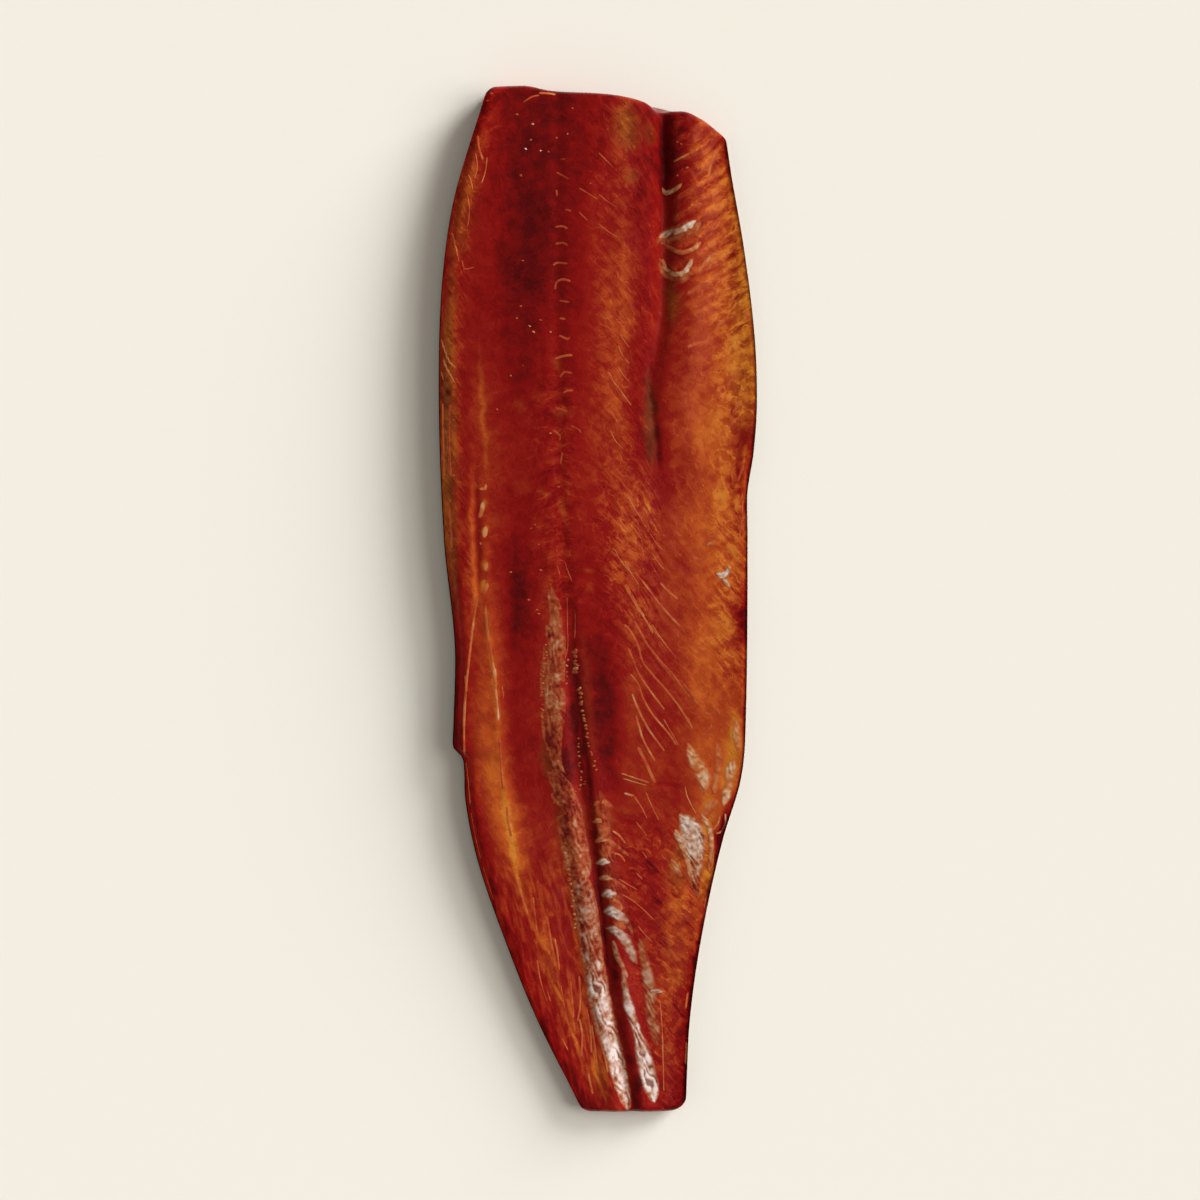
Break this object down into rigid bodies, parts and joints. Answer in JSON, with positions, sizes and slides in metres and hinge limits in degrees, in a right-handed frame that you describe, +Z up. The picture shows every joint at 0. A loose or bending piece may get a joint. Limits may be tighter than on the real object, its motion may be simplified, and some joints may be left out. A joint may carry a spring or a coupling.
{
  "type": "smoked fish side",
  "caption": "Cold-smoked side of salmon, trimmed at both ends, lying skin down with its glossy red-orange flesh up. Food prop for a board, tray or counter.",
  "frame": {"origin": "on the surface the side lies on, under the middle of its bounding box", "axes": "+Y runs from the tail cut to the head cut, +X from the back of the fish to its belly, +Z up out of the flesh"},
  "size_m": [0.162, 0.52, 0.026],
  "materials": {
    "smoked_flesh": "gloss",
    "fish_skin": "satin"
  },
  "bodies": {
    "root": {"smoked_side": "smoked_flesh"}
  },
  "joints": []
}
